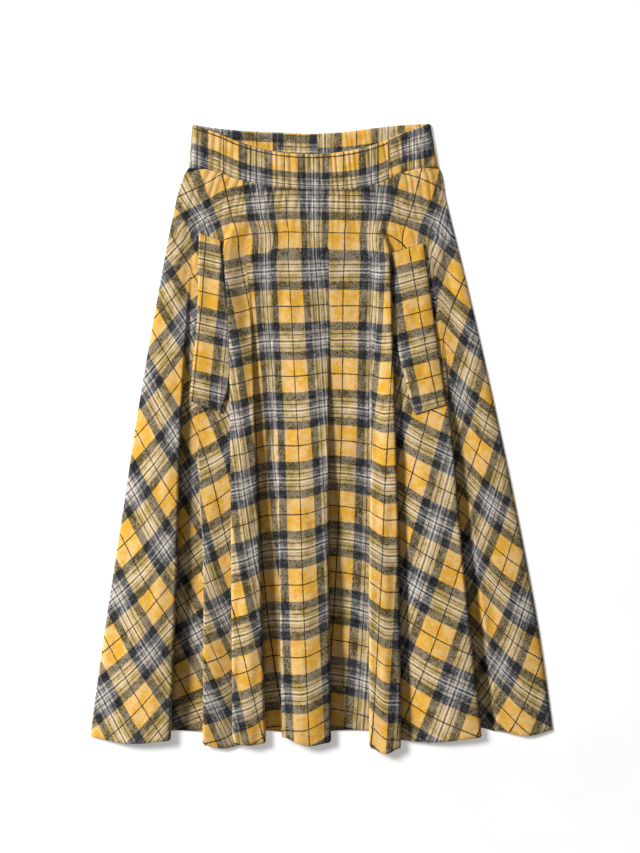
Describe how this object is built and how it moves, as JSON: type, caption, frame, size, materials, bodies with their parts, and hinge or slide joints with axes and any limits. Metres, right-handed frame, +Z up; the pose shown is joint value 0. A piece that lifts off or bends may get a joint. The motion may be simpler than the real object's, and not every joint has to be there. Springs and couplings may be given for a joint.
{
  "type": "a-line skirt",
  "caption": "A-line midi skirt of check flannel lying flat, with a gathered elastic waistband, flared folds and slanted pocket welts.",
  "frame": {"origin": "middle of the skirt's box, on the surface that it lies on", "axes": "+X to the viewer's right across the skirt, +Y from the hem to the waist, +Z up out of the front"},
  "size_m": [0.6005, 0.8147, 0.0227],
  "materials": {
    "band_flannel": "brushed yellow, navy and grey check flannel over elastic",
    "front_flannel": "brushed yellow, navy and grey check flannel",
    "back_flannel": "brushed yellow, navy and grey check flannel",
    "welt_flannel": "brushed yellow, navy and grey check flannel, double"
  },
  "bodies": {
    "root": {"waistband": "band_flannel", "front": "front_flannel", "back": "back_flannel", "pocket_welt_left": "welt_flannel", "pocket_welt_right": "welt_flannel"}
  },
  "joints": []
}
